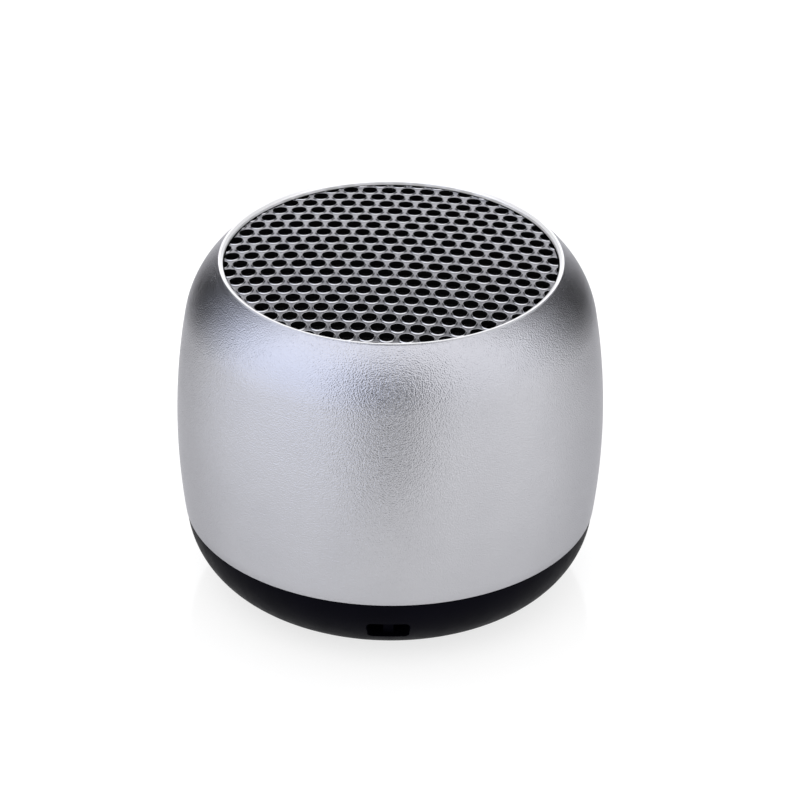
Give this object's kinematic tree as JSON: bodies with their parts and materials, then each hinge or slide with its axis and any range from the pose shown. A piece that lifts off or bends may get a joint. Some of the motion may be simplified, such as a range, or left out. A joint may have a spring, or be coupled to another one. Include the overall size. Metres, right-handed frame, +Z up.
{
  "type": "pocket wireless speaker",
  "caption": "Round pocket speaker: an aluminium barrel with a perforated crowned top over a full-range driver, on a black base with a strap slot and a power button underneath.",
  "frame": {"origin": "centre of the foot ring's resting face, on the barrel's turned axis", "axes": "+Z up along the turned axis, -Y towards the strap slot, +Y towards the charging port, +X to the right seen from the front"},
  "size_m": [0.046, 0.046, 0.0381],
  "materials": {
    "satin_aluminium": "bead-blasted and clear anodised, with a polished rim",
    "grille_metal": "perforated sheet, satin, with rolled hole edges",
    "black_cloth": "open-weave dust cloth",
    "black_foam": "closed-cell foam",
    "black_plastic": "fine moulded satin",
    "white_plastic": "satin",
    "clear_plastic": "clear, polished",
    "black_rubber": "matte silicone",
    "black_steel": "black electrophoretic coat",
    "zinc_steel": "zinc plated",
    "magnet_ferrite": "ground",
    "copper": "enamelled wire",
    "tag_brass": "tinned",
    "cone_paper": "pressed paper pulp",
    "spider_cloth": "resin-set weave",
    "fibre_board": "phenolic paper",
    "circuit_board": "solder resist over glass epoxy",
    "chip_black": "moulded epoxy",
    "ceramic": "fired ceramic",
    "cell_foil": "laminated foil",
    "red_insulation": "insulated wire",
    "black_insulation": "insulated wire"
  },
  "bodies": {
    "housing": {"outer_shell": "satin_aluminium", "grille": "grille_metal", "grille_cloth": "black_cloth", "driver_gasket": "black_foam", "driver_basket": "black_steel", "surround": "black_rubber", "spider": "spider_cloth", "top_plate": "zinc_steel", "magnet": "magnet_ferrite", "yoke": "zinc_steel", "terminal_board": "fibre_board", "terminal_tag_positive": "tag_brass", "terminal_tag_negative": "tag_brass", "tinsel_lead_positive": "copper", "tinsel_lead_negative": "copper", "inner_carrier": "black_plastic", "battery_pad": "black_foam", "battery_cell": "cell_foil", "battery_protection_board": "circuit_board", "battery_lead_positive": "red_insulation", "battery_lead_negative": "black_insulation", "speaker_lead_positive": "red_insulation", "speaker_lead_negative": "black_insulation", "main_board": "circuit_board", "bluetooth_chip": "chip_black", "amplifier_chip": "chip_black", "crystal": "zinc_steel", "chip_antenna": "ceramic", "power_inductor": "chip_black", "electrolytic_capacitor": "cell_foil", "micro_usb_shell": "zinc_steel", "micro_usb_tongue": "chip_black", "switch_body": "chip_black", "status_led": "white_plastic", "microphone": "zinc_steel", "microphone_boot": "black_rubber", "light_pipe": "clear_plastic", "bottom_cover": "black_plastic", "foot_ring": "black_rubber", "cover_screw_1": "zinc_steel", "cover_screw_2": "zinc_steel", "cover_screw_3": "zinc_steel"},
    "diaphragm": {"cone": "cone_paper", "dust_cap": "cone_paper", "voice_coil_former": "cone_paper", "voice_coil": "copper"},
    "button": {"power_button": "black_plastic"},
    "plunger": {"switch_plunger": "white_plastic"}
  },
  "joints": [
    {"name": "button_press", "type": "slide", "parent": "housing", "child": "button", "axis": [0, 0, 1], "range_m": [0, 0.00025], "stiffness_N_per_m": 6000},
    {"name": "plunger_press", "type": "slide", "parent": "housing", "child": "plunger", "axis": [0, 0, 1], "range_m": [0, 0.00025]},
    {"name": "cone_excursion", "type": "slide", "parent": "housing", "child": "diaphragm", "axis": [0, 0, 1], "range_m": [-0.0006, 0.0006], "stiffness_N_per_m": 1000, "deforming": ["surround", "spider", "tinsel_lead_positive", "tinsel_lead_negative"]}
  ],
  "couplings": [
    {"joint": "plunger_press", "follows": "button_press", "ratio": 1}
  ]
}
